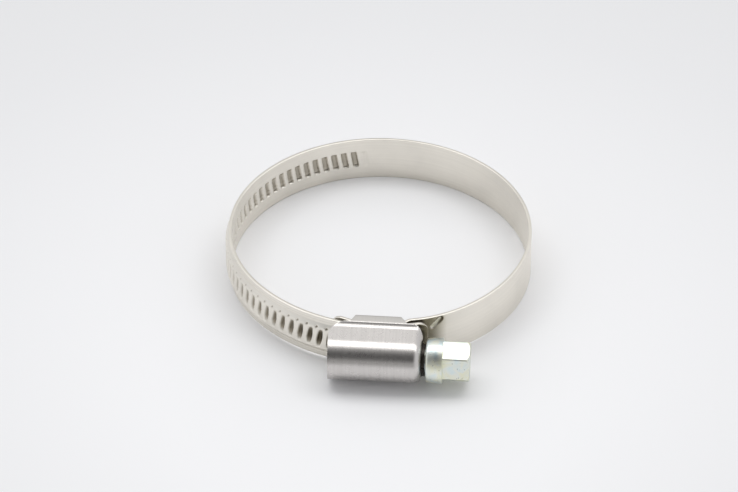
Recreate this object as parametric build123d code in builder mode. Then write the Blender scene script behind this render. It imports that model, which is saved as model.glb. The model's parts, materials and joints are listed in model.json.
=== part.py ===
from build123d import *
from math import atan2, cos, degrees, pi, radians, sin, sqrt, tan
import os

# A worm drive hose clamp. The hose's axis is Z and its centre is the origin. The housing sits
# on the -Y side, and the screw lies along X with its head at +X. Sizes are in millimetres.

# Hose and ring
hose_radius = 27.6          # smallest circle inside the clamp
ring_clearance = 0.4        # the round part of the band is this much larger in radius
ring_back_clearance = 0.05  # between the hose circle and the ring at the back

# Band
band_width = 9.0
band_thickness = 0.6
layer_clearance = 0.05      # between one layer in the housing and the next
band_end_radius = 2.0       # rounded corners of both ends of the strip
tongue_tip_x = -6.9         # fixed end, inside the ring
tongue_bend_x = -5.3        # from here the tongue lies against the hose
flat_left_x = -3.2          # the flat stretch of the inner layer
flat_right_x = 6.2
step_x = 8.3                # the inner layer's step towards the ring ends here
step_inset = 0.26           # this far inside the round part's circle
step_lead = 0.8             # short straight run after the step
step_bend_radius = 1.2
ring_join_angle = 30.8      # the round part begins here, counted from -Y towards +X
ring_leave_angle = 47.9     # the threaded layer leaves it here, counted towards -X
threaded_enter_x = -7.3     # and comes to the housing's mouth
threaded_enter_rise = 0.8   # height still to lose there before the flat stretch
tail_bend_x = 4.5           # the outer layer starts to curl towards the ring
tail_curl_radius = 15.5
tail_length = 6.6
layer_bend_radius = 5.0

# Embossed thread of the band
pitch = 2.0
groove_phase_x = 0.9        # one groove lies at this X, under the worm
thread_start_angle = 95.2   # the thread begins here, counted from +X
plateau_height = 0.65       # ribs stand this far out of the band
plateau_top_width = 4.6
plateau_base_width = 5.2
thread_tail_plain = 2.4     # plain length at the end of the tail
groove_bottom = 0.05        # left above the band's outer face
groove_rim_width = 0.6
groove_flank_angle = 25.0
pocket_width = 0.95
pocket_height = 3.3
pocket_depth = 0.7

# Oblique stop lugs, pressed inwards on the ring beside the housing
lug_length = 3.0
lug_width = 1.0
lug_depth = 0.3
lug_proud = 0.2             # how far they stand inside the ring
lug_offset = 3.0            # their middles, above and below the middle of the band
lug_distance = 4.2          # from the end of the step, along the band
lug_angle = 45.0

# Saddle
saddle_thickness = 0.35
wing_thickness = 0.6
wing_clearance = 0.15       # between a band edge and a wing
wing_flare_left = 0.9       # a wing is wider at the housing than at the floor
wing_flare_right = 1.3
wing_bend_radius = 0.3
floor_left_x = -2.4
floor_right_x = 6.0

# Screw
worm_radius = 3.75
worm_depth = 0.8
worm_engagement = 0.35      # how far the thread reaches below the tops of the ribs
worm_crest_width = 0.44
worm_flank_angle = 20.0
worm_foot_sink = 0.16       # the thread's foot reaches this far into the core
worm_left_x = -5.9
worm_end_chamfer = 0.7
neck_radius = 2.3
neck_clearance = 0.1
collar_gap = 0.2            # between the housing's lip and the collar
collar_length = 3.05
collar_radius = 4.2
collar_face_radius = 3.45
collar_shoulder_radius = 3.95
collar_shoulder = 0.5
collar_rim_chamfer = 0.12
hex_across_flats = 7.0
hex_length = 5.1
hex_chamfer = 0.45
hex_corner_elevation = 43.0  # one corner of the head points this far above -Y
slot_width = 1.2
slot_depth = 1.6

# Housing
housing_wall = 0.5
housing_left_x = -6.65
housing_right_x = 10.3
housing_end_wall = 0.9
worm_radial_clearance = 0.1
worm_end_clearance = 0.15
wall_slope = 7.0            # the side walls widen towards the band
flange_run = 1.6            # the walls step out over this length to the wings
flange_land = 0.15
seam_clearance = 0.2        # the housing ends this far outside the band's outer layer
shoulder_radius = 1.7
mouth_corner_radius = 3.3
front_corner_radius = 2.4
lip_length = 0.6
lip_wall = 0.65

os.makedirs("parts", exist_ok=True)

# Positions that follow from the sizes above. The layers stack outwards along -Y.
half_width = band_width / 2
half_thickness = band_thickness / 2
floor_inner = hose_radius
floor_outer = floor_inner + saddle_thickness
inner_layer = floor_outer + layer_clearance + half_thickness
outer_layer = inner_layer + band_thickness + layer_clearance
rib_top = outer_layer + half_thickness + plateau_height
worm_axis = rib_top + worm_radius - worm_engagement
ring_radius = hose_radius + ring_clearance
ring_centre_y = hose_radius + ring_back_clearance - ring_radius
ring_middle = ring_radius + half_thickness
helix_angle = degrees(atan2(pitch, 2 * pi * (worm_axis - rib_top)))


def on_circle(radius, x, centre_y=0.0):
    """The point of a circle about (0, centre_y) that lies on the housing's side at x."""
    return (x, centre_y - sqrt(radius**2 - x**2))


def on_ring(angle):
    """The point of the round part's middle line at an angle from -Y towards +X."""
    return (ring_middle * sin(radians(angle)), ring_centre_y - ring_middle * cos(radians(angle)))


# The strip's middle line, from the fixed end to the tail.
tongue_circle = hose_radius + layer_clearance + half_thickness
tongue_tip = on_circle(tongue_circle, tongue_tip_x)
tongue_bend = on_circle(tongue_circle, tongue_bend_x)
step_end = on_circle(ring_middle - step_inset, step_x, ring_centre_y)
ring_start = on_ring(ring_join_angle)
ring_end = on_ring(-ring_leave_angle)
mouth = (threaded_enter_x, threaded_enter_rise - outer_layer)


def ring_angle(point):
    """Angle of a point about the ring's centre, in degrees from +X, between 0 and 360."""
    return degrees(atan2(point[1] - ring_centre_y, point[0])) % 360


ring_heading = Vector(*ring_start) - Vector(0, ring_centre_y)
step_arc = TangentArc(ring_start, step_end, tangent=(ring_heading.Y, -ring_heading.X))
step_corner = Vector(*step_end) + (step_arc % 1) * step_lead
start_angle = ring_angle(ring_start) - 360
end_angle = ring_angle(ring_end)

with BuildLine() as plain_line:
    FilletPolyline(
        tongue_tip,
        tongue_bend,
        (flat_left_x, -inner_layer),
        (flat_right_x, -inner_layer),
        step_corner,
        step_end,
        radius=step_bend_radius,
    )
    add(step_arc)
    CenterArc((0, ring_centre_y), ring_middle, start_angle, thread_start_angle - start_angle)

with BuildLine() as threaded_line:
    round_part = CenterArc(
        (0, ring_centre_y), ring_middle, thread_start_angle, end_angle - thread_start_angle
    )
    approach = TangentArc(round_part @ 1, mouth, tangent=round_part % 1)
    mouth_heading = approach % 1
    flat_start = Vector(*mouth) + mouth_heading * (threaded_enter_rise / -mouth_heading.Y)
    FilletPolyline(mouth, flat_start, (tail_bend_x, -outer_layer), radius=layer_bend_radius)
    CenterArc(
        (tail_bend_x, tail_curl_radius - outer_layer),
        tail_curl_radius,
        270,
        degrees(tail_length / tail_curl_radius),
    )

plain_path = plain_line.wire()
threaded_path = threaded_line.wire()


def across(path, distance):
    """The plane across a path at a length from its start: X points out of the ring, Y is up."""
    point = path.position_at(distance, position_mode=PositionMode.LENGTH)
    heading = path.tangent_at(distance, position_mode=PositionMode.LENGTH)
    return Plane(origin=point, x_dir=heading.cross(Vector(0, 0, 1)), z_dir=-heading)


# Where the grooves lie along the threaded path: one is at groove_phase_x, in the flat stretch.
phase_length = threaded_path.length - tail_length - (tail_bend_x - groove_phase_x)
grooves_before = int((phase_length - pitch) / pitch)
thread_end = threaded_path.length - thread_tail_plain
grooves_after = int((thread_end - phase_length - pitch / 2) / pitch)
groove_lengths = [phase_length + n * pitch for n in range(-grooves_before, grooves_after + 1)]
thread_start = groove_lengths[0] - pitch / 2
thread_end = groove_lengths[-1] + pitch / 2

# Band: the plain strip, the threaded strip, and the raised plateau that grooves cut into ribs
with BuildPart() as plain_band:
    with BuildSketch(across(plain_path, 0)):
        Rectangle(band_thickness, band_width)
    sweep(path=plain_path)

with BuildPart() as threaded_band:
    with BuildSketch(across(threaded_path, 0)):
        Rectangle(band_thickness, band_width)
    sweep(path=threaded_path)

thread_path = threaded_path.trim(
    thread_start / threaded_path.length, thread_end / threaded_path.length
)
with BuildPart() as plateau:
    with BuildSketch(across(thread_path, 0)):
        with BuildLine():
            Polyline(
                (0, -plateau_base_width / 2),
                (half_thickness, -plateau_base_width / 2),
                (half_thickness + plateau_height, -plateau_top_width / 2),
                (half_thickness + plateau_height, plateau_top_width / 2),
                (half_thickness, plateau_base_width / 2),
                (0, plateau_base_width / 2),
                close=True,
            )
        make_face()
    sweep(path=thread_path)

# Tools for a groove, a pocket behind a rib, a rounded end of the strip and a stop lug
groove_centre = worm_axis - outer_layer
groove_radius = groove_centre - half_thickness - groove_bottom
groove_foot = groove_radius - 2 * plateau_height
foot_width = groove_rim_width + 4 * plateau_height * tan(radians(groove_flank_angle))

with BuildPart() as groove_tool:
    with BuildSketch(Plane.XZ):
        with BuildLine():
            Polyline(
                (groove_foot, -foot_width / 2),
                (groove_radius, -groove_rim_width / 2),
                (groove_radius, groove_rim_width / 2),
                (groove_foot, foot_width / 2),
                close=True,
            )
        make_face()
    revolve(axis=Axis.Z)

with BuildPart() as pocket_tool:
    with Locations((pocket_depth - half_thickness, 0, 0)):
        Box(
            pocket_depth + layer_clearance / 2,
            pocket_height,
            pocket_width,
            align=(Align.MAX, Align.CENTER, Align.CENTER),
        )

corner_reach = half_thickness + layer_clearance
with BuildPart() as corner_tool:
    with BuildSketch(Plane.XY.offset(-corner_reach)):
        Rectangle(2 * band_end_radius, 2 * band_end_radius, align=(Align.MIN, Align.MIN))
        Circle(band_end_radius, mode=Mode.SUBTRACT)
    extrude(amount=2 * corner_reach)

with BuildPart() as lug_recess:
    with BuildSketch(Plane.XY.offset(half_thickness - lug_depth)):
        SlotOverall(lug_length, lug_width)
    extrude(amount=2 * lug_depth)

with BuildPart() as lug_bump:
    with BuildSketch(Plane.XY.offset(-half_thickness - lug_proud)):
        SlotOverall(lug_length, lug_width)
    extrude(amount=lug_proud + half_thickness / 2)


def facing(path, distance, height, turn=0.0):
    """A location on the strip's middle surface: Z points out of the ring, X along the path."""
    point = path.position_at(distance, position_mode=PositionMode.LENGTH)
    heading = path.tangent_at(distance, position_mode=PositionMode.LENGTH)
    outwards = heading.cross(Vector(0, 0, 1))
    surface = Plane(origin=point + Vector(0, 0, height), x_dir=heading, z_dir=outwards)
    return surface.location * Location((0, 0, 0), (0, 0, turn))


def tilted(distance, lift=0.0):
    """The location across the threaded strip, leaning with the worm's helix."""
    return across(threaded_path, distance).location * Location((lift, 0, 0), (-helix_angle, 0, 0))


thread_ribs = [length + pitch / 2 for length in groove_lengths[:-1]]
tail_corner = threaded_path.length - band_end_radius
corner_height = half_width - band_end_radius
lug_length_on_path = (
    plain_path.length
    - radians(thread_start_angle - start_angle) * ring_middle
    - step_arc.length
    + lug_distance
)

with BuildPart() as band:
    add(plain_band.part)
    add(threaded_band.part)
    add(plateau.part)
    with Locations(*[tilted(length, groove_centre) for length in groove_lengths]):
        add(groove_tool.part, mode=Mode.SUBTRACT)
    with Locations(*[tilted(length) for length in thread_ribs]):
        add(pocket_tool.part, mode=Mode.SUBTRACT)
    with Locations(
        facing(threaded_path, tail_corner, corner_height),
        facing(threaded_path, tail_corner, -corner_height, -90),
        facing(plain_path, band_end_radius, corner_height, 90),
        facing(plain_path, band_end_radius, -corner_height, 180),
    ):
        add(corner_tool.part, mode=Mode.SUBTRACT)
    with Locations(
        facing(plain_path, lug_length_on_path, lug_offset, lug_angle),
        facing(plain_path, lug_length_on_path, -lug_offset, -lug_angle),
    ):
        add(lug_bump.part)
        add(lug_recess.part, mode=Mode.SUBTRACT)
band.part.label = "band"
export_step(band.part, "parts/band.step")

# Saddle: a floor between the hose and the band, and a wing along each edge of the band
wing_inner = half_width + wing_clearance
wing_outer = wing_inner + wing_thickness
seam = outer_layer + half_thickness + seam_clearance

with BuildPart() as saddle:
    with BuildSketch(Plane.XZ.offset(floor_inner)):
        with Locations(((floor_left_x + floor_right_x) / 2, 0)):
            Rectangle(floor_right_x - floor_left_x, 2 * wing_outer)
    extrude(amount=saddle_thickness)
    with BuildSketch(Plane.XY.offset(wing_inner)):
        with BuildLine():
            Polyline(
                (floor_left_x, -floor_inner),
                (floor_right_x, -floor_inner),
                (floor_right_x + wing_flare_right, -seam),
                (floor_left_x - wing_flare_left, -seam),
                close=True,
            )
        make_face()
    extrude(amount=wing_thickness)
    mirror(about=Plane.XY)
    bends = saddle.edges().filter_by(Axis.X).group_by(Axis.Y)[-1]
    fillet(bends, wing_bend_radius)
saddle.part.label = "saddle"
export_step(saddle.part, "parts/saddle.step")

# Housing: a cover drawn around the worm, whose side walls step out to the saddle's wings
nose_radius = worm_radius + worm_radial_clearance + housing_wall
slope = radians(wall_slope)
step_out = seam + flange_land + flange_run
housing_length = housing_right_x - housing_left_x


def wall_height(radius, distance):
    """Half height of the side walls at a distance from the hose's axis, around a nose radius."""
    tangent = worm_axis + radius * sin(slope)
    return radius * cos(slope) + (tangent - distance) * tan(slope)


def add_cover_outline(radius, rear):
    """The outline around the worm: a nose of this radius and walls that end at rear."""
    tangent = (-worm_axis - radius * sin(slope), radius * cos(slope))
    rear_corner = (-rear, wall_height(radius, rear))
    Polyline((rear_corner[0], -rear_corner[1]), rear_corner, tangent)
    ThreePointArc(tangent, (-worm_axis - radius, 0), (tangent[0], -tangent[1]))
    Line((tangent[0], -tangent[1]), (rear_corner[0], -rear_corner[1]))


def add_flange_outline(inset):
    """The step from the walls to the wings, drawn as far inside the outer face as inset."""
    top = wing_outer - inset
    lean = inset * tan(atan2(wing_outer - wall_height(nose_radius, step_out), flange_run) / 2)
    rear = seam - inset
    Polyline(
        (-rear, 0),
        (-rear, top),
        (-seam - flange_land + lean, top),
        (-step_out + lean, wall_height(nose_radius - inset, step_out)),
        (-step_out, 0),
        close=True,
    )


with BuildPart() as cover_body:
    with BuildSketch(Plane.YZ.offset(housing_left_x)):
        with BuildLine():
            add_cover_outline(nose_radius, seam)
        make_face()
    extrude(amount=housing_length)
    front_face = cover_body.faces().sort_by(Axis.X)[-1]
    fillet(front_face.edges().sort_by(Axis.Y)[:-1], shoulder_radius)
    with BuildSketch(Plane.YZ.offset(housing_left_x)):
        with BuildLine():
            add_flange_outline(0)
        make_face()
        mirror(about=Plane.XZ)
    extrude(amount=housing_length)

with BuildPart() as cavity:
    with BuildSketch(Plane.YZ.offset(housing_left_x)):
        with BuildLine():
            add_cover_outline(nose_radius - housing_wall, seam - housing_wall)
        make_face()
    extrude(amount=housing_length - housing_end_wall)
    with BuildSketch(Plane.YZ.offset(housing_left_x)):
        with BuildLine():
            add_flange_outline(housing_wall)
        make_face()
        mirror(about=Plane.XZ)
    extrude(amount=housing_length)

with BuildPart() as housing:
    with BuildSketch() as plan:
        with Locations((housing_left_x, -seam)):
            Rectangle(
                housing_length, worm_axis + nose_radius - seam, align=(Align.MIN, Align.MAX)
            )
        rear_corners = plan.vertices().group_by(Axis.Y)[-1].sort_by(Axis.X)
        fillet(rear_corners[0], mouth_corner_radius)
        fillet(plan.vertices().group_by(Axis.Y)[-1].sort_by(Axis.X)[-1], front_corner_radius)
    extrude(amount=wing_outer, both=True)
    add(cover_body.part, mode=Mode.INTERSECT)
    add(cavity.part, mode=Mode.SUBTRACT)
    with BuildSketch(Plane.YZ.offset(housing_right_x - housing_end_wall)):
        with Locations((-worm_axis, 0)):
            Circle(neck_radius + neck_clearance + lip_wall)
    extrude(amount=housing_end_wall + lip_length)
    with BuildSketch(Plane.YZ.offset(housing_right_x - housing_end_wall)):
        with Locations((-worm_axis, 0)):
            Circle(neck_radius + neck_clearance)
    extrude(amount=housing_end_wall + lip_length, mode=Mode.SUBTRACT)
housing.part.label = "housing"
export_step(housing.part, "parts/housing.step")

# Screw: worm, neck, collar and slotted hexagon head in one piece
end_wall_inner = housing_right_x - housing_end_wall
worm_right_x = end_wall_inner - worm_end_clearance
root_radius = worm_radius - worm_depth
collar_x = housing_right_x + lip_length + collar_gap
hex_x = collar_x + collar_length
hex_corner_radius = hex_across_flats / sqrt(3)
turns_before = int((groove_phase_x - worm_left_x - worm_crest_width) / pitch)
turns_after = int((worm_right_x - groove_phase_x - worm_crest_width) / pitch)
thread_start_x = groove_phase_x - turns_before * pitch
crest_half = worm_crest_width / 2
thread_foot = worm_depth + worm_foot_sink
foot_half = crest_half + thread_foot * tan(radians(worm_flank_angle))

worm_frame = Plane((thread_start_x, -worm_axis, 0), x_dir=(0, 1, 0), z_dir=(1, 0, 0))
helix = worm_frame.location * Helix(pitch, (turns_before + turns_after) * pitch, worm_radius)

with BuildPart() as thread:
    with BuildSketch(Plane((thread_start_x, worm_radius - worm_axis, 0))):
        with BuildLine():
            Polyline(
                (-crest_half, 0),
                (crest_half, 0),
                (foot_half, -thread_foot),
                (-foot_half, -thread_foot),
                close=True,
            )
        make_face()
    sweep(path=helix, is_frenet=True)

# The hexagon's corners are trimmed by a cone, and its end has a screwdriver slot, which lies
# square to the raised corner.
head_frame = Plane((hex_x, -worm_axis, 0), x_dir=(0, -1, 0), z_dir=(1, 0, 0))
with BuildPart() as corner_trim:
    with BuildSketch(head_frame):
        Circle(hex_corner_radius)
    extrude(amount=hex_length)
    rim = corner_trim.edges().filter_by(GeomType.CIRCLE).sort_by(Axis.X)[-1]
    chamfer(rim, hex_chamfer / 2, hex_chamfer)

with BuildPart() as head:
    with BuildSketch(head_frame):
        RegularPolygon(hex_corner_radius, 6, rotation=-hex_corner_elevation)
    extrude(amount=hex_length)
    add(corner_trim.part, mode=Mode.INTERSECT)
    with BuildSketch(head_frame.offset(hex_length - slot_depth)):
        Rectangle(2 * hex_corner_radius, slot_width, rotation=90 - hex_corner_elevation)
    extrude(amount=slot_depth, mode=Mode.SUBTRACT)

with BuildPart() as screw:
    with BuildSketch(Plane((0, -worm_axis, 0))):
        with BuildLine():
            Polyline(
                (worm_left_x, 0),
                (worm_left_x, root_radius - worm_end_chamfer),
                (worm_left_x + worm_end_chamfer, root_radius),
                (worm_right_x, root_radius),
                (worm_right_x, neck_radius),
                (collar_x, neck_radius),
                (collar_x, collar_face_radius),
                (collar_x + collar_shoulder, collar_shoulder_radius),
                (hex_x - collar_rim_chamfer, collar_radius),
                (hex_x, collar_radius - collar_rim_chamfer),
                (hex_x, 0),
                close=True,
            )
        make_face()
    revolve(axis=Axis((0, -worm_axis, 0), (1, 0, 0)))
    add(head.part)
    add(thread.part)
screw.part.label = "screw"
export_step(screw.part, "parts/screw.step")
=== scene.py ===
import json
from math import atan2, cos, pi, radians, sin, sqrt, tan

import bmesh
import bpy
import numpy as np
from mathutils import Matrix, Quaternion, Vector


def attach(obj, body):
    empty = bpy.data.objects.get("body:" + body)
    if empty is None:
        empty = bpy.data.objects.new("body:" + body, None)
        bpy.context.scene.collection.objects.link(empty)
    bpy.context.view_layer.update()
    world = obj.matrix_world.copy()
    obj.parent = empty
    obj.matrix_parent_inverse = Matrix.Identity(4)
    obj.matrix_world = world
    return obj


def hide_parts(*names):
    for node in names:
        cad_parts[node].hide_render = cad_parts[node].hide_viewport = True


# The looks of a worm drive hose clamp: a detailed mesh for the band, housing, saddle and screw,
# their materials, a pale floor, soft light and the camera. The hose's axis is Z, the housing
# sits on the -Y side, and the screw lies along X. Lengths are in millimetres, and meshes are
# turned into metres as they are made.

MM = 0.001

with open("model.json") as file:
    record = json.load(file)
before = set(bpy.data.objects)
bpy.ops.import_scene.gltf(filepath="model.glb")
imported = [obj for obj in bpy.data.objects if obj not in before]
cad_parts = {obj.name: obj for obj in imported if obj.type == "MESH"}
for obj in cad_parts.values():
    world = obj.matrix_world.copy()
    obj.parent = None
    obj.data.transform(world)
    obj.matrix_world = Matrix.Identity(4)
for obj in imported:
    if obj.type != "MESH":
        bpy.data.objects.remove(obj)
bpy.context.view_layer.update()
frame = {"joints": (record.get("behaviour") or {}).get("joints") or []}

# ---------------------------------------------------------------- main sizes

# These are the solids' sizes, apart from the few marked as moved, which are given here.

# Hose, ring and layers
HOSE_RADIUS = 27.6
RING_CLEARANCE = 0.4
RING_BACK_CLEARANCE = 0.05
RING_RADIUS = HOSE_RADIUS + RING_CLEARANCE
BAND_WIDTH = 9.0
BAND_THICKNESS = 0.6
LAYER_CLEARANCE = 0.05
SADDLE_THICKNESS = 0.35
HALF_WIDTH = BAND_WIDTH / 2
HALF_THICKNESS = BAND_THICKNESS / 2
INNER_LAYER = HOSE_RADIUS + SADDLE_THICKNESS + LAYER_CLEARANCE + HALF_THICKNESS
OUTER_LAYER = INNER_LAYER + BAND_THICKNESS + LAYER_CLEARANCE
RING_CENTRE_Y = HOSE_RADIUS + RING_BACK_CLEARANCE - RING_RADIUS
RING_CENTRE = (0, RING_CENTRE_Y)
RING_MIDDLE = RING_RADIUS + HALF_THICKNESS

# Embossed thread
PITCH = 2.0
PLATEAU_HEIGHT = 0.65
WORM_RADIUS = 3.75
WORM_ENGAGEMENT = 0.35
WORM_AXIS = -1000 * frame["joints"][0]["pos_m"][1]
HELIX_ANGLE = atan2(PITCH, 2 * pi * (WORM_RADIUS - WORM_ENGAGEMENT))
GROOVE_PHASE_X = 1.05  # moved 0.15 towards the head
GROOVE_LEAN = HELIX_ANGLE + radians(4.0)  # leans 4 degrees more than the worm's helix

# Housing, saddle and screw
SEAM_CLEARANCE = 0.2
WING_CLEARANCE = 0.15
WING_THICKNESS = 0.6
SEAM = OUTER_LAYER + HALF_THICKNESS + SEAM_CLEARANCE
WING_INNER = HALF_WIDTH + WING_CLEARANCE
WING_OUTER = WING_INNER + WING_THICKNESS
HOUSING_LEFT = -6.65
HOUSING_RIGHT = 10.3
COLLAR_X = 10.95  # moved 0.15 towards the housing
HEX_X = 14.15
HEX_END = 19.05  # moved 0.2 towards the housing


# ---------------------------------------------------------------- lines and arcs in the XY plane


def unit(vector):
    return vector / np.linalg.norm(vector)


def turn_between(before, after):
    """The signed angle from one direction to another."""
    turn = atan2(after[1], after[0]) - atan2(before[1], before[0])
    return (turn + pi) % (2 * pi) - pi


def left_of(heading):
    return np.array([-heading[1], heading[0]])


class Line:
    def __init__(self, start, end):
        self.start = np.array(start, float)
        self.heading = unit(np.array(end, float) - self.start)
        self.length = float(np.linalg.norm(np.array(end, float) - self.start))

    def at(self, distance):
        return self.start + self.heading * distance, self.heading


class Arc:
    """A circular arc that starts at an angle and turns by a signed angle, both in radians."""

    def __init__(self, centre, radius, start, turn):
        self.centre = np.array(centre, float)
        self.radius = radius
        self.start = start
        self.turn = turn
        self.length = abs(turn) * radius

    def at(self, distance):
        way = 1 if self.turn > 0 else -1
        angle = self.start + way * distance / self.radius
        outwards = np.array([cos(angle), sin(angle)])
        return self.centre + self.radius * outwards, way * left_of(outwards)


def arc_from(start, heading, centre_side, radius, turn):
    """An arc that leaves start along heading, its centre on one side of it."""
    centre = start + centre_side * left_of(heading) * radius
    outwards = start - centre
    return Arc(centre, radius, atan2(outwards[1], outwards[0]), turn)


def tangent_arc(start, heading, end):
    """The arc that leaves start along heading and ends at end."""
    start, chord = np.array(start, float), np.array(end, float) - np.array(start, float)
    half_turn = turn_between(heading, chord)
    radius = np.linalg.norm(chord) / (2 * abs(sin(half_turn)))
    return arc_from(start, heading, np.sign(half_turn), radius, 2 * half_turn)


def filleted(points, radius):
    """Lines through the points, with an arc of this radius at each corner."""
    points = [np.array(p, float) for p in points]
    parts = []
    place = points[0]
    for before, corner, after in zip(points, points[1:], points[2:]):
        into, out = unit(corner - before), unit(after - corner)
        turn = turn_between(into, out)
        cut = radius * tan(abs(turn) / 2)
        bend = corner - into * cut
        parts.append(Line(place, bend))
        parts.append(arc_from(bend, into, np.sign(turn), radius, turn))
        place = corner + out * cut
    parts.append(Line(place, points[-1]))
    return parts


def total(parts):
    return sum(part.length for part in parts)


def along(parts, distance):
    """The point and heading at a length along several lines and arcs."""
    for part in parts[:-1]:
        if distance <= part.length:
            return part.at(distance)
        distance -= part.length
    return parts[-1].at(distance)


def on_circle(radius, x, centre_y=0.0):
    return np.array([x, centre_y - sqrt(radius**2 - x**2)])


def on_ring(angle):
    """A point of the round part's middle line, at degrees from -Y towards +X."""
    turn = radians(angle)
    return np.array([RING_MIDDLE * sin(turn), RING_CENTRE_Y - RING_MIDDLE * cos(turn)])


# ---------------------------------------------------------------- meshes


def make_object(name, vertices, faces, sharp_degrees=35, shade=None):
    """A mesh object from millimetre points. Shade is a value at each point, for its material."""
    mesh = bpy.data.meshes.new(name)
    mesh.from_pydata([tuple(c * MM for c in v) for v in vertices], [], faces)
    layer = mesh.attributes.new("shade", "FLOAT", "POINT")
    if shade is not None:
        layer.data.foreach_set("value", shade)
    tidy = bmesh.new()
    tidy.from_mesh(mesh)
    bmesh.ops.remove_doubles(tidy, verts=tidy.verts, dist=1e-7)
    bmesh.ops.recalc_face_normals(tidy, faces=tidy.faces)
    tidy.to_mesh(mesh)
    tidy.free()
    piece = bpy.data.objects.new(name, mesh)
    bpy.context.scene.collection.objects.link(piece)
    smooth(piece, sharp_degrees)
    return piece


def smooth(piece, sharp_degrees):
    piece.data.shade_smooth()
    piece.data.set_sharp_from_angle(angle=radians(sharp_degrees))


def grid_faces(rows, columns, closed=False):
    """Quads over a grid of points stored row by row. A closed grid joins each row's ends."""
    faces = []
    for i in range(rows - 1):
        for j in range(columns if closed else columns - 1):
            after = (j + 1) % columns
            a, b = i * columns + j, i * columns + after
            faces.append((a, b, b + columns, a + columns))
    return faces


def lathe(name, rings, sharp_degrees=35):
    """A closed solid about the screw's axis, from (x, radius at each angle) rings."""
    around = len(rings[0][1])
    angles = np.linspace(0, 2 * pi, around, endpoint=False)
    vertices = []
    for x, radii in rings:
        for angle, radius in zip(angles, radii):
            vertices.append((x, -WORM_AXIS + radius * cos(angle), radius * sin(angle)))
    faces = grid_faces(len(rings), around, closed=True)
    faces.append(tuple(range(around)))
    faces.append(tuple(range(len(vertices) - around, len(vertices))))
    return make_object(name, vertices, faces, sharp_degrees)


def applied(piece):
    """The piece with its modifiers made part of its mesh."""
    bpy.context.view_layer.update()
    shown = piece.evaluated_get(bpy.context.evaluated_depsgraph_get())
    mesh = bpy.data.meshes.new_from_object(shown)
    piece.modifiers.clear()
    piece.data = mesh
    return piece


def combine(piece, other, operation):
    """Joins other to the piece, or cuts it away, and removes other."""
    step = piece.modifiers.new("combine", "BOOLEAN")
    step.operation = operation
    step.object = other
    step.solver = "EXACT"
    applied(piece)
    bpy.data.objects.remove(other)
    return piece


def bevelled(piece, width, sharp_degrees=35, segments=2):
    step = piece.modifiers.new("edges", "BEVEL")
    step.width = width * MM
    step.segments = segments
    step.limit_method = "ANGLE"
    step.angle_limit = radians(sharp_degrees)
    return applied(piece)


def eased(x):
    """0 below 0, 1 above 1, and a smooth rise between."""
    x = np.clip(x, 0.0, 1.0)
    return x * x * (3 - 2 * x)


def smooth_min(a, b, reach):
    blend = np.clip(0.5 + 0.5 * (b - a) / reach, 0.0, 1.0)
    return b * (1 - blend) + a * blend - reach * blend * (1 - blend)


def ridge(distance, width):
    """1 on a line, falling to 0 on both sides of it."""
    return np.exp(-(distance**2) / (2 * width**2))


# ---------------------------------------------------------------- band

TONGUE_CIRCLE = HOSE_RADIUS + LAYER_CLEARANCE + HALF_THICKNESS
TONGUE_TIP_X = -6.9
TONGUE_BEND_X = -5.3
FLAT_LEFT_X = -3.2
FLAT_RIGHT_X = 6.2
STEP_X = 8.3
STEP_INSET = 0.26
STEP_LEAD = 0.8
STEP_BEND_RADIUS = 1.2
STEP_END = on_circle(RING_MIDDLE - STEP_INSET, STEP_X, RING_CENTRE_Y)
# The round part joins the step at degrees from -Y towards +X, and leaves for the mouth at
# degrees from -Y towards -X. The thread begins at degrees from +X.
RING_JOIN = 30.8
RING_LEAVE = 47.9
THREAD_START = 95.2
MOUTH_RISE = 0.8
MOUTH = np.array([-7.3, MOUTH_RISE - OUTER_LAYER])
LAYER_BEND_RADIUS = 5.0
TAIL_BEND_X = 4.5
TAIL_CURL_RADIUS = 15.5
TAIL_LENGTH = 6.6
THREAD_TAIL_PLAIN = 2.4
BAND_END_RADIUS = 2.0


def fixed_end():
    """From the fixed end inside the ring, under the housing, to the end of the step."""
    join = ring_to_step()
    step_corner = STEP_END + join.at(join.length)[1] * STEP_LEAD
    points = [
        on_circle(TONGUE_CIRCLE, TONGUE_TIP_X),
        on_circle(TONGUE_CIRCLE, TONGUE_BEND_X),
        (FLAT_LEFT_X, -INNER_LAYER),
        (FLAT_RIGHT_X, -INNER_LAYER),
        step_corner,
        STEP_END,
    ]
    return filleted(points, STEP_BEND_RADIUS)


def ring_to_step():
    """The arc between the round part and the step, from the ring's end of it."""
    start = on_ring(RING_JOIN)
    outwards = start - np.array(RING_CENTRE)
    return tangent_arc(start, unit(-left_of(outwards)), STEP_END)


def round_part(start_degrees, end_degrees):
    start, end = radians(start_degrees), radians(end_degrees)
    return Arc(RING_CENTRE, RING_MIDDLE, start, end - start)


def free_end():
    """From the threaded end of the round part, through the housing, to the tail."""
    last = round_part(THREAD_START, 270 - RING_LEAVE)
    approach = tangent_arc(on_ring(-RING_LEAVE), last.at(last.length)[1], MOUTH)
    heading = approach.at(approach.length)[1]
    flat_start = MOUTH + heading * (MOUTH_RISE / -heading[1])
    flat = filleted([MOUTH, flat_start, (TAIL_BEND_X, -OUTER_LAYER)], LAYER_BEND_RADIUS)
    curl_centre = (TAIL_BEND_X, TAIL_CURL_RADIUS - OUTER_LAYER)
    tail = Arc(curl_centre, TAIL_CURL_RADIUS, -pi / 2, TAIL_LENGTH / TAIL_CURL_RADIUS)
    return [last, approach] + flat + [tail]


to_ring = ring_to_step()
from_step = Arc(to_ring.centre, to_ring.radius, to_ring.start + to_ring.turn, -to_ring.turn)
FIXED = fixed_end()
PLAIN = FIXED + [from_step, round_part(RING_JOIN - 90, THREAD_START)]
STRIP = PLAIN + free_end()
STRIP_LENGTH = total(STRIP)

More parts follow.
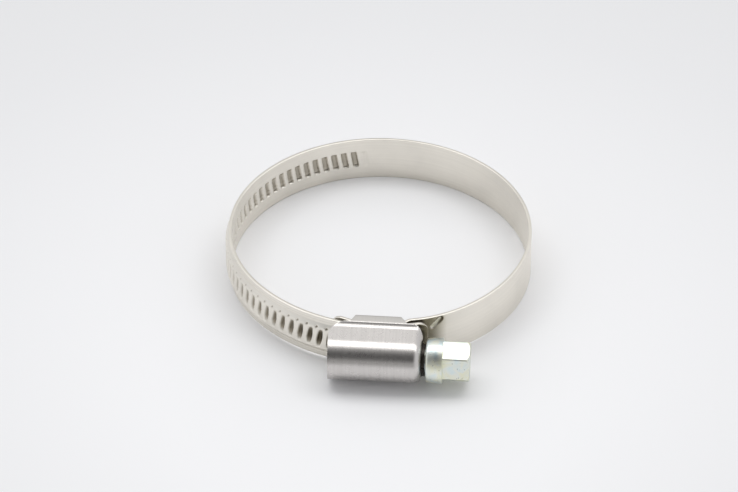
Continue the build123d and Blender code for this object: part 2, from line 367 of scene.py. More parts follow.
# The grooves' middles, as lengths along the strip: one lies at GROOVE_PHASE_X in the housing.
groove_phase = STRIP_LENGTH - TAIL_LENGTH - (TAIL_BEND_X - GROOVE_PHASE_X)
grooves_before = int((groove_phase - total(PLAIN) - PITCH) / PITCH)
grooves_after = int((STRIP_LENGTH - THREAD_TAIL_PLAIN - groove_phase - PITCH / 2) / PITCH)
FIRST_GROOVE = groove_phase - grooves_before * PITCH
LAST_GROOVE = groove_phase + grooves_after * PITCH

MOUTH_LENGTH = total(STRIP[:-4])

GROOVE_CENTRE = WORM_AXIS - OUTER_LAYER - HALF_THICKNESS
GROOVE_FLOOR = 0.05
GROOVE_RIM = 0.6
GROOVE_FLANK = radians(25)
RIB_EDGE = 0.07
PLATEAU_TOP = 2.35
PLATEAU_SLOPE = 1.0
POCKET_HALF_WIDTH = 0.48
POCKET_HALF_HEIGHT = 1.68
POCKET_DEPTH = 0.66
POCKET_SIDE_FALL = 0.2
POCKET_END_FALL = 0.3
# Painted shade in each pocket behind a rib.
POCKET_SHADE = 0.4
FAINT_POCKET = 0.15
DIMPLE_HEIGHT = 2.4
DIMPLE_SIZE = 0.15
DIMPLE_DEPTH = 0.4
# Painted shade in the small dimple at each rib's upper end.
DIMPLE_SHADE = 0.6
# The grooves' painted shade fades out over their lower part, which faces up into the light.
GROOVE_LIT_END = 2.9
GROOVE_LIT_RUN = 1.2
MARGIN_LINE = 3.2
MARGIN_RISE = 0.15
MARGIN_STEP = 0.05
MARGIN_START = 6
CREASE_DEPTH = 0.05
CREASE_WIDTH = 0.07
# A second thin line along each margin, drawn only as painted shade of a crease.
SECOND_LINE = 3.75
LINE_WIDTH = 0.06
LINE_SHADE = 0.22

LUG_DISTANCE = 4.2
LUG_PLACE = total(FIXED) + LUG_DISTANCE
LUG_HEIGHT = 3.0
LUG_HALF_LENGTH = 1.0
LUG_RADIUS = 0.5
LUG_DEPTH = 0.4  # 0.1 deeper than the solid's
LUG_SIDE = 0.12
LUG_EDGE = 0.18
# Painted shade on the lugs' rims, growing towards each lug's upper end; the painted shade beside
# the collar is kept off the lugs' floors.
LUG_RIM_SHADE = 0.7
LUG_RIM_WIDTH = 0.13
LUG_RIM_START = 0.6
LUG_RIM_RUN = 1.6
LUG_FLOOR_UNSHADED = 0.8

EDGE_ROUNDING = 0.1
ROUNDING_STEPS = [radians(a) for a in (22.5, 45, 67.5)]
END_SHARPNESS = 0.2

THREAD_END_MARGIN = 1.0
THREAD_END_RUN = 0.2
PLATEAU_EASE = 0.35

# How close the band's points lie: along the strip, and across it as (from, to, step) heights
# above its middle, closest over the ribs' ends and the margins
LUG_REACH = 2
PLAIN_STEP = 0.5
BEND_STEP = 0.2
LUG_STEP = 0.1
THREAD_STEP = PITCH / 12
ROW_STEPS = ((0, 1.6, 0.4), (1.6, 3.0, 0.14), (3.0, 3.95, 0.12))

# Painted shade: beside the collar, where the housing and collar shade the strip, and in the
# grooves, stronger near the housing's mouth than at distances back from it
COLLAR_SHADE = 0.55
COLLAR_SHADE_START_X = 10.5
COLLAR_SHADE_END_X = 15.5
GROOVE_SHADE_PLACES = (0.0, 2.0, 7.0, 14.0, 50.0)
GROOVE_SHADE_SHARES = (1.25, 1.25, 0.9, 0.7, 0.45)


def groove_shade_share(s):
    """How strong the painted shade in the grooves is, from the housing's mouth back along the
    strip.
    """
    return np.interp(MOUTH_LENGTH - s, GROOVE_SHADE_PLACES, GROOVE_SHADE_SHARES)


def from_groove(s, h):
    """Signed distance along the strip from the nearest groove, which leans with the height."""
    place = s - FIRST_GROOVE - h * tan(GROOVE_LEAN)
    return (place + PITCH / 2) % PITCH - PITCH / 2


def thread_share(s):
    """1 in the thread, easing to 0 past its first and last groove."""
    begun = eased((s - FIRST_GROOVE + THREAD_END_MARGIN) / THREAD_END_RUN)
    return begun * eased((LAST_GROOVE + THREAD_END_MARGIN - s) / THREAD_END_RUN)


def outer_relief(s, h):
    """How far the outer face stands out of the plain strip, and how much painted shade it gets in
    the grooves, dimples and second margin line.
    """
    side = np.abs(h)
    fall = np.clip((side - PLATEAU_TOP) / PLATEAU_SLOPE, 0, 1)
    plateau = PLATEAU_HEIGHT * (1 - PLATEAU_EASE * eased(fall) - (1 - PLATEAU_EASE) * fall)
    distance = np.abs(from_groove(s, h))
    reach = GROOVE_CENTRE - GROOVE_FLOOR
    tool = reach - np.maximum(distance - GROOVE_RIM / 2, 0) / tan(GROOVE_FLANK)
    tool = np.maximum(tool, reach - 2 * PLATEAU_HEIGHT)
    under = GROOVE_CENTRE - np.sqrt(np.maximum(tool**2 - h**2, 0.0))
    ribs = smooth_min(plateau, under, RIB_EDGE)
    dimple = ridge(PITCH / 2 - distance, DIMPLE_SIZE) * ridge(h - DIMPLE_HEIGHT, DIMPLE_SIZE)
    # Painted shade in each groove, faded out over its lower part, which faces up into the light,
    # and in each dimple.
    lit_below = eased((h + GROOVE_LIT_END) / GROOVE_LIT_RUN)
    hollow_shade = np.maximum(plateau - ribs, 0.0) / PLATEAU_HEIGHT * lit_below + DIMPLE_SHADE * dimple
    margin = eased((side - MARGIN_LINE) / MARGIN_RISE) * MARGIN_STEP
    crease = -CREASE_DEPTH * ridge(side - MARGIN_LINE, CREASE_WIDTH)
    begun = eased((s - total(PLAIN) + MARGIN_START) / MARGIN_START)
    edges = (margin + crease) * begun
    # The second line along each margin is painted shade only, with no relief.
    second = ridge(side - SECOND_LINE, LINE_WIDTH) * begun
    shade = hollow_shade * thread_share(s) * groove_shade_share(s) + LINE_SHADE * second
    return (ribs - DIMPLE_DEPTH * dimple) * thread_share(s) + edges, shade


def inner_relief(s, h):
    """How far the inner face is pressed outwards, which is a pocket behind each rib, and the
    painted shade in each pocket.
    """
    beside = PITCH / 2 - np.abs(from_groove(s, h)) - POCKET_HALF_WIDTH
    above = np.abs(h) - POCKET_HALF_HEIGHT
    pocket = 1 - eased((beside + POCKET_SIDE_FALL / 2) / POCKET_SIDE_FALL)
    pocket *= 1 - eased((above + POCKET_END_FALL / 2) / POCKET_END_FALL)
    faint = FAINT_POCKET * (s > FIRST_GROOVE - PITCH)
    started = np.maximum(eased((s - FIRST_GROOVE) / POCKET_END_FALL), faint)
    pocket *= started * eased((LAST_GROOVE - s) / POCKET_END_FALL)
    return POCKET_DEPTH * pocket, POCKET_SHADE * pocket


def lug_relief(s, h):
    """The oblique stop lugs, pressed inwards, and the share of each point that is in their rims,
    which get painted shade, most at each lug's upper end.
    """
    relief, rims = np.zeros_like(h), np.zeros_like(h)
    for way in (1, -1):
        ahead, above = s - LUG_PLACE, h - way * LUG_HEIGHT
        lengthwise = (ahead + way * above) / sqrt(2)
        sideways = (above - way * ahead) / sqrt(2)
        beyond = np.maximum(np.abs(lengthwise) - LUG_HALF_LENGTH, 0)
        distance = np.hypot(beyond, sideways)
        relief -= LUG_DEPTH * (1 - eased((distance - LUG_RADIUS + LUG_SIDE) / LUG_EDGE))
        # The rim's painted shade grows towards the lug's upper end.
        upper_end = eased((lengthwise * way + LUG_RIM_START) / LUG_RIM_RUN)
        rims += ridge(distance - LUG_RADIUS, LUG_RIM_WIDTH) * upper_end
    return relief, rims


def collar_shade_share(s):
    """How much painted shade and dark reflection the strip's outside gets where it comes out of the
    housing, beside the collar.
    """
    (x, y), _ = along(STRIP, s)
    beside = y < 0 and x > 0
    return beside * (1 - eased((x - COLLAR_SHADE_START_X) / (COLLAR_SHADE_END_X - COLLAR_SHADE_START_X)))


def strip_columns():
    """Lengths along the strip where the band has a ring of points, close where it has relief."""
    thread_low = FIRST_GROOVE - PITCH
    thread_high = LAST_GROOVE + (THREAD_END_MARGIN + THREAD_END_RUN)
    tip_start = STRIP_LENGTH - BAND_END_RADIUS
    stretches = [
        np.linspace(0, END_SHARPNESS, 5),
        np.linspace(END_SHARPNESS, BAND_END_RADIUS, 10),
        np.arange(BAND_END_RADIUS, LUG_PLACE - LUG_REACH, BEND_STEP),
        np.arange(LUG_PLACE - LUG_REACH, LUG_PLACE + LUG_REACH, LUG_STEP),
        np.arange(LUG_PLACE + LUG_REACH, thread_low, PLAIN_STEP),
        np.arange(thread_low, thread_high, THREAD_STEP),
        np.linspace(thread_high, tip_start, 5),
        np.linspace(tip_start, STRIP_LENGTH - END_SHARPNESS, 10),
        np.linspace(STRIP_LENGTH - END_SHARPNESS, STRIP_LENGTH, 5),
    ]
    return np.unique(np.round(np.concatenate(stretches), 3))


def strip_rows():
    """Heights across the strip, as shares of its half width."""
    stretches = [np.arange(*steps) for steps in ROW_STEPS]
    stretches.append(np.linspace(ROW_STEPS[-1][1], HALF_WIDTH - EDGE_ROUNDING, 3))
    upper = np.unique(np.round(np.concatenate(stretches), 3))
    return np.concatenate([-upper[:0:-1], upper]) / HALF_WIDTH


def strip_section(s, rows):
    """The strip's closed outline at a length along it: (outwards, height, shade) points."""
    to_end = min(s, STRIP_LENGTH - s)
    cut = max(BAND_END_RADIUS - to_end, 0.0)
    half = HALF_WIDTH - BAND_END_RADIUS + sqrt(BAND_END_RADIUS**2 - cut**2)
    thin = HALF_THICKNESS - EDGE_ROUNDING * (1 - min(to_end / END_SHARPNESS, 1.0)) ** 2
    h = rows * half
    here = np.full_like(h, s)
    outer, groove = outer_relief(here, h)
    inner, pocket = inner_relief(here, h)
    lugs, rims = lug_relief(here, h)
    outer, inner = thin + outer + lugs, inner + lugs - thin
    # Painted shade beside the collar is kept off the lugs' floors; the lugs' rims get painted shade
    # of their own.
    lug_floor = np.clip(-lugs / LUG_DEPTH, 0, 1)
    collar_shade = COLLAR_SHADE * collar_shade_share(s) * (1 - LUG_FLOOR_UNSHADED * lug_floor)
    groove = groove + collar_shade + LUG_RIM_SHADE * rims
    section = list(zip(outer, h, groove))
    section += edge_arc(outer[-1], -1, h[-1], 1)
    section += edge_arc(inner[-1], 1, h[-1], 1)[::-1]
    section += list(zip(inner[::-1], h[::-1], pocket[::-1]))
    section += edge_arc(inner[0], 1, h[0], -1)
    section += edge_arc(outer[0], -1, h[0], -1)[::-1]
    return section


def edge_arc(face, inwards, height, way):
    """Points around one rounded long edge, between a face and the strip's narrow side."""
    points = []
    for angle in ROUNDING_STEPS:
        fall = EDGE_ROUNDING * (1 - cos(angle))
        points.append((face + inwards * fall, height + way * EDGE_ROUNDING * sin(angle), 0.0))
    return points


def make_band():
    """The whole strip as one closed mesh, with its thread, pockets, lugs and rounded ends."""
    columns, rows = strip_columns(), strip_rows()
    vertices, shade = [], []
    for s in columns:
        (x, y), heading = along(STRIP, s)
        outwards = -left_of(heading)
        section = strip_section(s, rows)
        for offset, height, dark in section:
            vertices.append((x + outwards[0] * offset, y + outwards[1] * offset, height))
            shade.append(dark)
    around = len(section)
    faces = grid_faces(len(columns), around, closed=True)
    faces.append(tuple(range(around)))
    faces.append(tuple(range(len(vertices) - around, len(vertices))))
    return make_object("band_strip", vertices, faces, 50, shade)


# ---------------------------------------------------------------- housing

HOUSING_WALL = 0.5
WORM_CLEARANCE = 0.1
NOSE_RADIUS = WORM_RADIUS + WORM_CLEARANCE + HOUSING_WALL
SLOPE = radians(7.0)
FLANGE_LAND = 0.1
FLANGE_RUN = 1.05
SHOULDER = 1.7
MOUTH_CORNER = 3.3
MOUTH_LEAN = 0.04
MOUTH_SPREAD = 0.2
MOUTH_REACH = 6.0
FRONT_CORNER = 2.4
NECK_RADIUS = 2.3
NECK_CLEARANCE = 0.1
LIP_WALL = 0.65
LIP_RADIUS = NECK_RADIUS + NECK_CLEARANCE + LIP_WALL
LIP_LENGTH = 0.5
LIP_FOOT = 0.06
LIP_PROFILE = ((0.07, 0.03), (0.25, 0.0), (LIP_LENGTH, 0.0))  # (how far out, how much wider)
# Painted shade on the lip beside the collar starts this far inside the housing's end.
LIP_SHADE_START = 0.12
LIP_SHADE_RUN = 0.1
END_FACE_SHARES = (0.3, 0.6, 0.85, 1.0)
COVER_BEVEL = 0.1
PROFILE_POINTS = 161


def wall_height(y):
    """Half the housing's height over its sloping walls, which meet the nose smoothly."""
    tangent = WORM_AXIS + NOSE_RADIUS * sin(SLOPE)
    return NOSE_RADIUS * cos(SLOPE) + (tangent + y) * tan(SLOPE)


def housing_profile():
    """The cover's outer outline across X, as (y, z) points from the upper seam to the lower."""
    land_end = -SEAM - FLANGE_LAND
    run_end = land_end - FLANGE_RUN
    points = [(y, WING_OUTER) for y in np.linspace(-SEAM, land_end, 3)]
    step = WING_OUTER - wall_height(land_end)
    for share in np.linspace(0, 1, 14)[1:]:
        y = land_end + (run_end - land_end) * share
        points.append((y, wall_height(y) + step * (1 - share) ** 2))
    tangent_y = -WORM_AXIS - NOSE_RADIUS * sin(SLOPE)
    points += [(y, wall_height(y)) for y in np.linspace(run_end, tangent_y, 10)[1:]]
    for angle in np.linspace(pi / 2 + SLOPE, pi, 36)[1:]:
        points.append((-WORM_AXIS + NOSE_RADIUS * cos(angle), NOSE_RADIUS * sin(angle)))
    upper = np.array(points)
    return np.vstack([upper, upper[-2::-1] * np.array([1, -1])])


def resampled(points, cut):
    """Evenly spaced points along an outline, leaving out a length at both of its ends."""
    steps = np.linalg.norm(np.diff(points, axis=0), axis=1)
    lengths = np.concatenate([[0], np.cumsum(steps)])
    wanted = np.linspace(cut, lengths[-1] - cut, PROFILE_POINTS)
    return np.stack([np.interp(wanted, lengths, points[:, k]) for k in range(2)], axis=1)


def corner_cut(x):
    """How much of the outline the rounded corners beside the band take away at x."""
    cut = 0.0
    for radius, inside in ((MOUTH_CORNER, x - HOUSING_LEFT), (FRONT_CORNER, HOUSING_RIGHT - x)):
        if inside < radius:
            cut = radius - sqrt(max(radius**2 - (radius - inside) ** 2, 0.0))
    return cut


def inset(outline, distance):
    """An outline moved towards the housing's inside."""
    heading = np.gradient(outline, axis=0)
    normal = np.stack([heading[:, 1], -heading[:, 0]], axis=1)
    normal /= np.linalg.norm(normal, axis=1)[:, None]
    inwards = np.array([-WORM_AXIS, 0.0]) - outline
    return outline + normal * np.sign(np.sum(inwards * normal, axis=1))[:, None] * distance


def kept_outside(outline, radius):
    """An outline with the points nearer to the screw's axis than this radius moved out to it."""
    axis = np.array([-WORM_AXIS, 0.0])
    away = np.linalg.norm(outline - axis, axis=1)
    return axis + (outline - axis) * np.maximum(radius / away, 1)[:, None]


def make_housing():
    """One sheet drawn over the worm and closed around the neck, then given its wall."""
    profile = housing_profile()
    middle_end = HOUSING_RIGHT - SHOULDER
    columns = np.concatenate(
        [
            HOUSING_LEFT + MOUTH_CORNER * (1 - np.cos(np.linspace(0, pi / 2, 14))),
            np.linspace(HOUSING_LEFT + MOUTH_CORNER, HOUSING_RIGHT - FRONT_CORNER, 24)[1:],
            np.linspace(HOUSING_RIGHT - FRONT_CORNER, middle_end, 8)[1:],
        ]
    )
    rings = [(x, resampled(profile, corner_cut(x))) for x in columns]
    for angle in np.linspace(0, pi / 2, 9)[1:]:
        x = middle_end + SHOULDER * sin(angle)
        outline = resampled(profile, corner_cut(x))
        drawn_in = inset(outline, SHOULDER * (1 - cos(angle)))
        rings.append((x, kept_outside(drawn_in, LIP_RADIUS + LIP_FOOT)))
    turn = np.linspace(pi, -pi, PROFILE_POINTS)
    circle = np.stack([-np.cos(turn), np.sin(turn)], axis=1)
    axis = np.array([-WORM_AXIS, 0.0])
    foot = axis + circle * (LIP_RADIUS + LIP_FOOT)
    last = rings[-1][1]
    for share in END_FACE_SHARES:
        rings.append((HOUSING_RIGHT, last * (1 - share) + foot * share))
    for rise, spread in LIP_PROFILE:
        rings.append((HOUSING_RIGHT + rise, axis + circle * (LIP_RADIUS + spread)))
    vertices, shade = [], []
    for x, outline in rings:
        mouth = max(1 - (x - HOUSING_LEFT) / MOUTH_REACH, 0)
        for y, z in outline:
            lean = MOUTH_LEAN * (y + WORM_AXIS + NOSE_RADIUS) + MOUTH_SPREAD
            vertices.append((x - mouth * lean, y, z))
        # Painted shade on the lip, in the narrow gap between the housing and the collar.
        dark = eased((x - HOUSING_RIGHT + LIP_SHADE_START) / LIP_SHADE_RUN)
        shade += [float(dark)] * len(outline)
    faces = grid_faces(len(rings), PROFILE_POINTS)
    piece = make_object("housing_cover", vertices, faces, 60, shade)
    wall = piece.modifiers.new("wall", "SOLIDIFY")
    wall.thickness = HOUSING_WALL * MM
    wall.offset = -1
    applied(piece)
    bevelled(piece, COVER_BEVEL, 50)
    smooth(piece, 50)
    return piece


# ---------------------------------------------------------------- saddle


def prism(name, outline, axis, low, high):
    """A straight solid: an outline across the Z or Y axis, between two places on it."""
    vertices = []
    for level in (low, high):
        for a, b in outline:
            vertices.append((a, b, level) if axis == "Z" else (a, level, b))
    count = len(outline)
    sides = [(i, (i + 1) % count, (i + 1) % count + count, i + count) for i in range(count)]
    ends = [tuple(range(count)), tuple(range(count, 2 * count))]
    return make_object(name, vertices, sides + ends)


SADDLE_LEFT = -2.4
SADDLE_RIGHT = 6.0
FLARE_LEFT = 0.9
FLARE_RIGHT = 1.3
SADDLE_BEVEL = 0.14


def make_saddle():
    """A floor inside the band, and a wing along each of the band's edges."""
    floor = [
        (SADDLE_LEFT, -WING_OUTER),
        (SADDLE_RIGHT, -WING_OUTER),
        (SADDLE_RIGHT, WING_OUTER),
        (SADDLE_LEFT, WING_OUTER),
    ]
    piece = prism("saddle_plate", floor, "Y", -HOSE_RADIUS - SADDLE_THICKNESS, -HOSE_RADIUS)
    wing = [
        (SADDLE_LEFT, -HOSE_RADIUS),
        (SADDLE_RIGHT, -HOSE_RADIUS),
        (SADDLE_RIGHT + FLARE_RIGHT, -SEAM),
        (SADDLE_LEFT - FLARE_LEFT, -SEAM),
    ]
    for low, high in ((WING_INNER, WING_OUTER), (-WING_OUTER, -WING_INNER)):
        combine(piece, prism("wing", wing, "Z", low, high), "UNION")
    bevelled(piece, SADDLE_BEVEL, segments=3)
    smooth(piece, 50)
    return piece


# ---------------------------------------------------------------- screw

WORM_LEFT = -5.9
WORM_RIGHT = 9.25
WORM_DEPTH = 0.8
WORM_ROOT = WORM_RADIUS - WORM_DEPTH
CREST_HALF_WIDTH = 0.2
THREAD_FLANK = 0.32
THREAD_RUN_OUT = 0.9
WORM_CHAMFER = 0.7
COLLAR_FACE = 3.5
COLLAR_SHOULDER = 4.05
COLLAR_ROUNDING = 0.5
COLLAR_EDGE = (0.03, 0.1)  # how deep and how wide its face's edge is broken
COLLAR_TAPER = (1.4, 0.1)  # (after its face, how much larger than its shoulder)
COLLAR_BACK = ((0.2, 0.0), (0.05, 0.04), (0.0, 0.14))  # (before the head, how much smaller)
NECK_FILLET = 0.05
COLLAR_RADIUS = 4.2
HEX_FLATS = 7.0
HEX_CORNER = 43.0
HEX_TURN = radians(180 - HEX_CORNER)
HEX_SUNK = 0.4
CORNER_TRIM = 0.03
CORNER_ROUNDING = 0.1
CONE_ANGLE = radians(45)
CONE_FLAT = 0.06
CONE_ROUNDING = 0.05
SLOT_WIDTH = 1.2
SLOT_DEPTH = 1.6


def worm_radii(x, angles):
    """Radius of the worm at x for angles about its axis, counted from +Y towards +Z."""
    phase = (x - GROOVE_PHASE_X - PITCH * angles / (2 * pi)) % PITCH
    thread = 1 - eased((np.minimum(phase, PITCH - phase) - CREST_HALF_WIDTH) / THREAD_FLANK)
    ends = eased((x - WORM_LEFT) / THREAD_RUN_OUT) * eased((WORM_RIGHT - x) / THREAD_RUN_OUT)
    chamfer = WORM_CHAMFER * (1 - np.clip((x - WORM_LEFT) / WORM_CHAMFER, 0, 1))
    return WORM_ROOT - chamfer + (WORM_RADIUS - WORM_ROOT) * thread * ends


def make_screw():
    """Worm, neck and collar turned as one, joined to the slotted hexagon head."""
    angles = np.linspace(0, 2 * pi, 96, endpoint=False)
    rings = [(x, worm_radii(x, angles)) for x in np.arange(WORM_LEFT, WORM_RIGHT, 0.1)]
    turned = [
        (WORM_RIGHT, NECK_RADIUS),
        (COLLAR_X - NECK_FILLET, NECK_RADIUS),
        (COLLAR_X, NECK_RADIUS + NECK_FILLET),
        (COLLAR_X, COLLAR_FACE - COLLAR_EDGE[1]),
        (COLLAR_X + COLLAR_EDGE[0], COLLAR_FACE),
    ]
    reach = COLLAR_SHOULDER - COLLAR_FACE
    for share in np.linspace(0, 1, 9)[1:]:
        radius = COLLAR_FACE + reach * sin(share * pi / 2)
        x = COLLAR_X + COLLAR_EDGE[0] + COLLAR_ROUNDING * (1 - cos(share * pi / 2))
        turned.append((x, radius))
    turned.append((COLLAR_X + COLLAR_TAPER[0], COLLAR_SHOULDER + COLLAR_TAPER[1]))
    turned += [(HEX_X - before, COLLAR_RADIUS - less) for before, less in COLLAR_BACK]
    rings += [(x, np.full_like(angles, radius)) for x, radius in turned]
    piece = lathe("screw_body", rings, 50)
    combine(piece, make_head(), "UNION")
    smooth(piece, 40)
    return piece


def make_head():
    """The hexagon, its corners trimmed by a cone at the end, with a screwdriver slot."""
    angles = np.linspace(0, 2 * pi, 240, endpoint=False)
    from_corner = np.abs((angles - HEX_TURN + pi / 6) % (pi / 3) - pi / 6)
    hexagon = HEX_FLATS / 2 / np.cos(pi / 6 - from_corner)
    trimmed = np.full_like(angles, HEX_FLATS / sqrt(3) - CORNER_TRIM)
    hexagon = smooth_min(hexagon, trimmed, CORNER_ROUNDING)
    rings = [(HEX_X - HEX_SUNK, hexagon)]
    for x in (*np.linspace(HEX_X, HEX_END - 0.5, 5), *np.linspace(HEX_END - 0.45, HEX_END, 10)):
        cone = HEX_FLATS / 2 + CONE_FLAT + (HEX_END - x) / tan(CONE_ANGLE)
        rings.append((x, smooth_min(hexagon, np.full_like(angles, cone), CONE_ROUNDING)))
    rings.append((HEX_END, rings[-1][1] * 0.5))
    head = lathe("head", rings, 30)
    half = SLOT_WIDTH / 2
    start, end = HEX_END - SLOT_DEPTH, HEX_END + 1
    outline = [(start, -half), (end, -half), (end, half), (start, half)]
    slot = prism("slot", outline, "Y", -6, 6)
    slot.data.transform(Matrix.Rotation(pi / 2 + HEX_TURN, 4, "X"))
    slot.data.transform(Matrix.Translation((0, -WORM_AXIS * MM, 0)))
    return combine(head, slot, "DIFFERENCE")


# ---------------------------------------------------------------- materials


def add_node(tree, kind, inputs=(), **settings):
    """A node with its settings, and each (socket, value or link) input."""
    node = tree.nodes.new(kind)
    for name, value in settings.items():
        setattr(node, name, value)
    for socket, value in inputs:
        if isinstance(value, bpy.types.NodeSocket):
            tree.links.new(value, node.inputs[socket])
        else:
            node.inputs[socket].default_value = value
    return node


def metal(name):
    made = bpy.data.materials.new(name)
    made.use_nodes = True
    shader = made.node_tree.nodes["Principled BSDF"]
    shader.inputs["Metallic"].default_value = 1.0
    return made, made.node_tree, shader


def noise(tree, scale, detail=3.0, stretch=(1, 1, 1), distortion=0.0):
    """A noise value over the object, stretched to run along one way."""
    place = add_node(tree, "ShaderNodeTexCoord")
    mapping = add_node(
        tree, "ShaderNodeMapping", [("Vector", place.outputs["Object"]), ("Scale", stretch)]
    )
    inputs = [
        ("Vector", mapping.outputs["Vector"]),
        ("Scale", scale),
        ("Detail", detail),
        ("Distortion", distortion),
    ]
    return add_node(tree, "ShaderNodeTexNoise", inputs).outputs["Fac"]


def ramp(tree, value, stops):
    """Colours or greys at places along a value."""
    node = add_node(tree, "ShaderNodeValToRGB", [("Fac", value)])
    while len(node.color_ramp.elements) < len(stops):
        node.color_ramp.elements.new(0.5)
    for element, (place, colour) in zip(node.color_ramp.elements, stops):
        element.position = place
        element.color = (*colour, 1) if isinstance(colour, tuple) else (colour,) * 3 + (1,)
    return node.outputs["Color"]


def multiplied(tree, first, second):
    """The product of two colours. A colour Mix node has its colours at sockets 6 and 7."""
    node = add_node(tree, "ShaderNodeMix", data_type="RGBA", blend_type="MULTIPLY")
    node.inputs["Factor"].default_value = 1.0
    tree.links.new(first, node.inputs[6])
    tree.links.new(second, node.inputs[7])
    return node.outputs[2]


def bumped(tree, value, strength, height, below=None):
    inputs = [("Strength", strength), ("Distance", height * MM), ("Height", value)]
    if below is not None:
        inputs.append(("Normal", below))
    return add_node(tree, "ShaderNodeBump", inputs).outputs["Normal"]


def steel(name, colour, roughness, grain, streak=0.96, dark=(0.12, 0.105, 0.08)):
    """Rolled stainless sheet: fine grain one way, soft clouds, and painted shade where the shade
    attribute marks it, darkest in the grooves.
    """
    made, tree, shader = metal(name)
    streaks = noise(tree, 900, 2.0, grain)
    clouds = noise(tree, 120, 3.0)
    fine = noise(tree, 1500, 4.0)
    low, high = tuple(c * 0.96 for c in colour), tuple(c * 1.03 for c in colour)
    base = ramp(tree, clouds, [(0.35, low), (0.65, high)])
    lined = ramp(tree, streaks, [(0.3, streak), (0.7, 1.0)])
    # The shade attribute is painted shade: in the grooves, dimples, pockets and margin line, on the
    # lugs' rims, beside the collar and on the housing's lip. It darkens the colour towards dark.
    hollow_shade = add_node(tree, "ShaderNodeAttribute", attribute_name="shade").outputs["Fac"]
    half_dark = tuple(1.15 * sqrt(c) for c in dark)
    shade_tint = ramp(tree, hollow_shade, [(0.1, (1.0, 1.0, 1.0)), (0.5, half_dark), (0.95, dark)])
    base = multiplied(tree, multiplied(tree, base, lined), shade_tint)
    tree.links.new(base, shader.inputs["Base Color"])
    rough = ramp(tree, fine, [(0.3, roughness * 0.96), (0.7, roughness * 1.06)])
    tree.links.new(rough, shader.inputs["Roughness"])
    normal = bumped(tree, streaks, 0.25, 0.005)
    tree.links.new(bumped(tree, fine, 0.02, 0.001, normal), shader.inputs["Normal"])
    return made


def zinc(name):
    """Bright zinc plating: pale, with faint yellow, green and blue clouds and small specks."""
    made, tree, shader = metal(name)
    clouds = noise(tree, 420, 4.0, distortion=0.6)
    stops = [
        (0.3, (0.66, 0.78, 0.81)),
        (0.45, (0.80, 0.83, 0.77)),
        (0.6, (0.83, 0.83, 0.66)),
        (0.72, (0.74, 0.81, 0.72)),
    ]
    specks = ramp(tree, noise(tree, 2600, 2.0), [(0.27, 0.3), (0.33, 1.0)])
    base = multiplied(tree, ramp(tree, clouds, stops), specks)
    tree.links.new(base, shader.inputs["Base Color"])
    rough = ramp(tree, clouds, [(0.3, 0.3), (0.7, 0.46)])
    tree.links.new(rough, shader.inputs["Roughness"])
    normal = bumped(tree, noise(tree, 1900, 3.0), 0.8, 0.03)
    tree.links.new(normal, shader.inputs["Normal"])
    return made


# ---------------------------------------------------------------- floor, light and camera


# Painted falloff of the light on the floor: brightest near the clamp, darker away from it.
FLOOR_LIGHT_FALLOFF = [
    (0.04, (0.93, 0.93, 0.94)),
    (0.11, (0.82, 0.82, 0.83)),
    (0.35, (0.60, 0.60, 0.60)),
]


def make_floor():
    """A pale plane that touches the housing's underside and the band's lower edge at the back."""
    front = Vector((0, -SEAM, -WING_OUTER)) * MM
    back = Vector((0, RING_CENTRE_Y + RING_RADIUS + BAND_THICKNESS, -HALF_WIDTH)) * MM
    half = 3.0
    mesh = bpy.data.meshes.new("floor")
    corners = [(-half, -half, 0), (half, -half, 0), (half, half, 0), (-half, half, 0)]
    mesh.from_pydata(corners, [], [(0, 1, 2, 3)])
    floor = bpy.data.objects.new("floor", mesh)
    floor.location = front
    floor.rotation_euler = (atan2(back.z - front.z, back.y - front.y), 0, 0)
    bpy.context.scene.collection.objects.link(floor)
    made = bpy.data.materials.new("floor")
    made.use_nodes = True
    tree = made.node_tree
    shader = tree.nodes["Principled BSDF"]
    shader.inputs["Roughness"].default_value = 0.9
    shader.inputs["Specular IOR Level"].default_value = 0.0
    place = add_node(tree, "ShaderNodeTexCoord")
    away = add_node(
        tree, "ShaderNodeVectorMath", [(0, place.outputs["Object"])], operation="LENGTH"
    )
    # The colour is painted light falloff, darker with distance from the point under the housing.
    pale = ramp(tree, away.outputs["Value"], FLOOR_LIGHT_FALLOFF)
    tree.links.new(pale, shader.inputs["Base Color"])
    mesh.materials.append(made)


SKY_BACK = 0.86
SKY_TOP = 0.6
SKY_FRONT = 0.08
SKY_LOW_FRONT = 0.45
SKY_SIDES = 0.8
BOX_RADIANCE = 1.9
BOX_ELEVATION = radians(80)
BOX_SIZE = (1.6, 0.56)


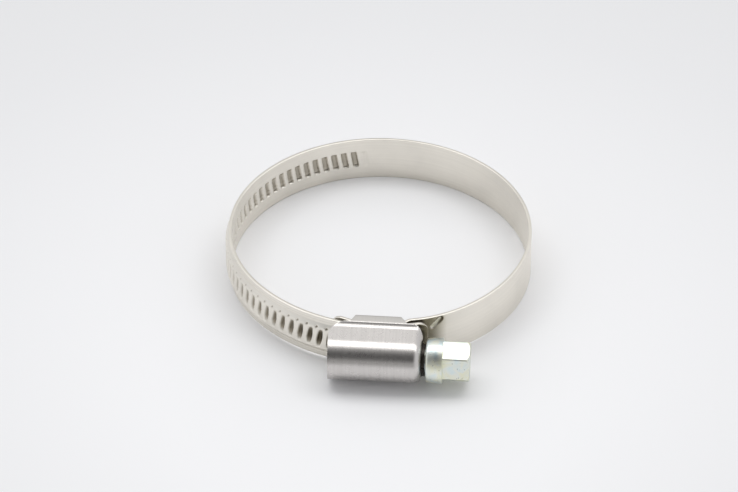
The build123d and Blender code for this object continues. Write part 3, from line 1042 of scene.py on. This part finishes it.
def make_light():
    """A studio: a wide soft box overhead, pale walls, and a dark side towards the camera."""
    world = bpy.data.worlds.new("studio")
    bpy.context.scene.world = world
    world.use_nodes = True
    tree = world.node_tree
    place = add_node(tree, "ShaderNodeTexCoord")
    split = add_node(tree, "ShaderNodeSeparateXYZ", [("Vector", place.outputs["Generated"])])
    over = add_node(
        tree,
        "ShaderNodeMath",
        [(0, split.outputs["Z"]), (1, split.outputs["Y"])],
        operation="ARCTAN2",
    )
    half_turn = add_node(
        tree, "ShaderNodeMath", [(0, over.outputs[0]), (1, pi)], operation="DIVIDE"
    )
    degree = 1 / 180
    stops = [
        (0.0, 0.4 * SKY_BACK),
        (30 * degree, 0.7 * SKY_BACK),
        (45 * degree, SKY_BACK),
        (90 * degree, SKY_TOP),
        (104 * degree, 0.6 * SKY_TOP),
        (126 * degree, SKY_FRONT),
        (150 * degree, SKY_FRONT),
        (164 * degree, SKY_LOW_FRONT),
    ]
    arch = ramp(tree, half_turn.outputs[0], stops)
    side = add_node(tree, "ShaderNodeMath", [(0, split.outputs["X"])], operation="ABSOLUTE")
    beside = ramp(tree, side.outputs[0], [(0.3, 0.0), (0.6, 1.0)])
    sky = add_node(tree, "ShaderNodeMix", data_type="RGBA")
    tree.links.new(beside, sky.inputs["Factor"])
    tree.links.new(arch, sky.inputs[6])
    sky.inputs[7].default_value = (SKY_SIDES * 0.99, SKY_SIDES, SKY_SIDES * 1.02, 1)
    tree.links.new(sky.outputs[2], tree.nodes["Background"].inputs["Color"])
    lamp = bpy.data.lights.new("softbox", "AREA")
    lamp.shape = "RECTANGLE"
    lamp.size, lamp.size_y = BOX_SIZE
    lamp.energy = BOX_RADIANCE * pi * lamp.size * lamp.size_y
    box = bpy.data.objects.new("softbox", lamp)
    box.location = Vector((0, cos(BOX_ELEVATION), sin(BOX_ELEVATION)))
    box.rotation_euler = (-box.location).to_track_quat("-Z", "Y").to_euler()
    bpy.context.scene.collection.objects.link(box)


CAMERA_TURN = radians(4.657)
CAMERA_ELEVATION = radians(37.94)
CAMERA_ROLL = radians(-0.135)
CAMERA_DISTANCE = 808.1
LOOK_AT = (-2.13, 6.024)
PHOTO_WIDTH = 738
FOCAL_PIXELS = 4225


def make_camera():
    """A long lens looking down across the housing, which sits a little turned in the view."""

    def place(x, y, z):
        """From the viewer's right, away and up to the frame, in metres."""
        across = x * cos(CAMERA_TURN) - y * sin(CAMERA_TURN)
        away = x * sin(CAMERA_TURN) + y * cos(CAMERA_TURN) + RING_CENTRE_Y
        return Vector((across, away, z - HALF_WIDTH)) * MM

    back = CAMERA_DISTANCE * cos(CAMERA_ELEVATION)
    target = place(*LOOK_AT, 0)
    eye = place(LOOK_AT[0], LOOK_AT[1] - back, CAMERA_DISTANCE * sin(CAMERA_ELEVATION))
    lens = bpy.data.cameras.new("camera")
    lens.sensor_width = 36
    lens.lens = FOCAL_PIXELS * lens.sensor_width / PHOTO_WIDTH
    lens.clip_start = 0.01
    camera = bpy.data.objects.new("camera", lens)
    camera.location = eye
    camera.rotation_mode = "QUATERNION"
    aim = (target - eye).to_track_quat("-Z", "Y")
    camera.rotation_quaternion = aim @ Quaternion((0, 0, 1), CAMERA_ROLL)
    bpy.context.scene.collection.objects.link(camera)
    bpy.context.scene.camera = camera


# ---------------------------------------------------------------- the scene


def place_piece(piece, body, node, made):
    """Puts a piece on its body in the place of a solid, and gives it its material."""
    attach(piece, body)
    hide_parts(node)
    piece.data.materials.clear()
    piece.data.materials.append(made)


make_camera()
make_floor()
make_light()

GRAIN_ALONG_BAND = (0.04, 0.04, 3)
GRAIN_ACROSS_X = (3, 0.04, 0.04)

band_steel = steel("rolled_band", (0.85, 0.815, 0.745), 0.38, GRAIN_ALONG_BAND)
# The cover's painted shade, on the lip beside the collar, is nearly black.
housing_steel = steel(
    "pressed_cover", (0.645, 0.62, 0.60), 0.28, GRAIN_ACROSS_X, 0.91, dark=(0.06, 0.055, 0.05)
)
saddle_steel = steel("pressed_saddle", (0.68, 0.66, 0.63), 0.3, GRAIN_ACROSS_X)
place_piece(make_band(), "clamp", "band", band_steel)
place_piece(make_housing(), "clamp", "housing", housing_steel)
place_piece(make_saddle(), "clamp", "saddle", saddle_steel)
place_piece(make_screw(), "screw", "screw", zinc("plated"))

bpy.context.scene.view_settings.view_transform = "Standard"
